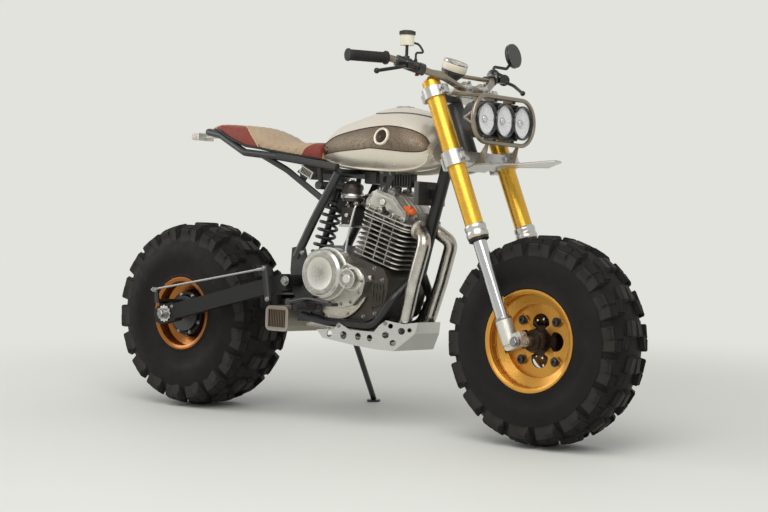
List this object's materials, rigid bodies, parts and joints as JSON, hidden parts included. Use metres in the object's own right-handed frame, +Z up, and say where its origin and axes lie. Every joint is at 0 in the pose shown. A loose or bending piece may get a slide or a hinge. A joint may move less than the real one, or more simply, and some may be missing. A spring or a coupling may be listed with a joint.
{
  "type": "custom motorcycle",
  "caption": "Low custom street motorcycle on balloon tyres, with a bronze tank, quilted saddle, gold fork and caged lamps, leaning on its side stand.",
  "frame": {"origin": "bottom centre of the whole machine's bounding box as it leans on its side stand: on the floor, midway between its foremost and rearmost points and midway across", "axes": "+X forward along the wheelbase, +Y to the rider's left (the side it leans to), +Z up"},
  "size_m": [2.0972, 0.8684, 1.2807],
  "materials": {
    "black_plastic": "matte",
    "bronze_metal": "bronze plated",
    "bronze_paint": "metallic bronze paint on sheet",
    "cast_aluminium": "cast and bead blasted",
    "chrome": "polished",
    "cream_plastic": "gloss",
    "dark_steel": "dark oiled steel",
    "gold_anodised": "gold anodised",
    "grip_rubber": "ribbed rubber",
    "lens_glass": "clear",
    "machined_aluminium": "machined",
    "red_lens": "translucent red",
    "satin_black": "satin black paint",
    "stainless": "brushed stainless tube",
    "steel": "brushed",
    "tan_leather": "quilted leather",
    "tyre_rubber": "black tyre rubber"
  },
  "bodies": {
    "frame": {"air_filter": "dark_steel", "brake_pedal": "satin_black", "carburettor": "cast_aluminium", "crankcase": "cast_aluminium", "cylinder_block": "cast_aluminium", "cylinder_head": "cast_aluminium", "drive_chain": "dark_steel", "electrics_box": "bronze_metal", "engine_covers": "machined_aluminium", "engine_sprocket": "dark_steel", "exhaust_headers": "stainless", "foot_pegs": "steel", "fuel_tank": "bronze_paint", "gear_lever": "satin_black", "main_frame": "satin_black", "muffler": "bronze_metal", "oil_cooler": "black_plastic", "rear_axle": "steel", "rear_brake": "steel", "seat": "tan_leather", "shock_body": "dark_steel", "shock_spring": "dark_steel", "skid_plate": "machined_aluminium", "subframe": "satin_black", "swingarm": "satin_black", "tail_light": "red_lens", "tank_cap": "machined_aluminium"},
    "side_stand": {"side_stand": "satin_black"},
    "steering": {"brake_hose": "grip_rubber", "brake_reservoir": "cream_plastic", "fork_feet": "cast_aluminium", "fork_inner_tubes": "chrome", "fork_outer_tubes": "gold_anodised", "front_axle": "steel", "front_caliper": "satin_black", "front_fender": "bronze_metal", "gauge": "cream_plastic", "grips": "grip_rubber", "hand_controls": "cast_aluminium", "handlebar": "bronze_metal", "headlight_cage": "bronze_metal", "lamp_housing": "black_plastic", "lamp_lenses": "lens_glass", "lower_clamp": "machined_aluminium", "mirror": "black_plastic", "steering_stem": "steel", "upper_clamp": "machined_aluminium"},
    "front_wheel": {"front_disc": "steel", "front_hub": "bronze_metal", "front_rim": "gold_anodised", "front_tyre": "tyre_rubber", "front_wheel_centre": "gold_anodised"},
    "rear_wheel": {"rear_hub": "cast_aluminium", "rear_rim": "gold_anodised", "rear_sprocket": "machined_aluminium", "rear_tyre": "tyre_rubber"}
  },
  "joints": [
    {"name": "steering", "type": "hinge", "parent": "frame", "child": "steering", "pos_m": [0.37491, -0.01385, 0.96093], "axis": [-0.3907, 0.0594, 0.9186], "range_deg": [-30, 30]},
    {"name": "front_wheel", "type": "hinge", "parent": "steering", "child": "front_wheel", "pos_m": [0.725, -0.05501, 0.32434], "axis": [0, 0.9979, -0.0645], "continuous": true},
    {"name": "rear_wheel", "type": "hinge", "parent": "frame", "child": "rear_wheel", "pos_m": [-0.725, -0.05501, 0.32434], "axis": [0, 0.9979, -0.0645], "continuous": true},
    {"name": "side_stand", "type": "hinge", "parent": "frame", "child": "side_stand", "pos_m": [-0.157, 0.09013, 0.27537], "axis": [-0.4119, 0.8965, 0.1635], "range_deg": [0, 88]}
  ]
}
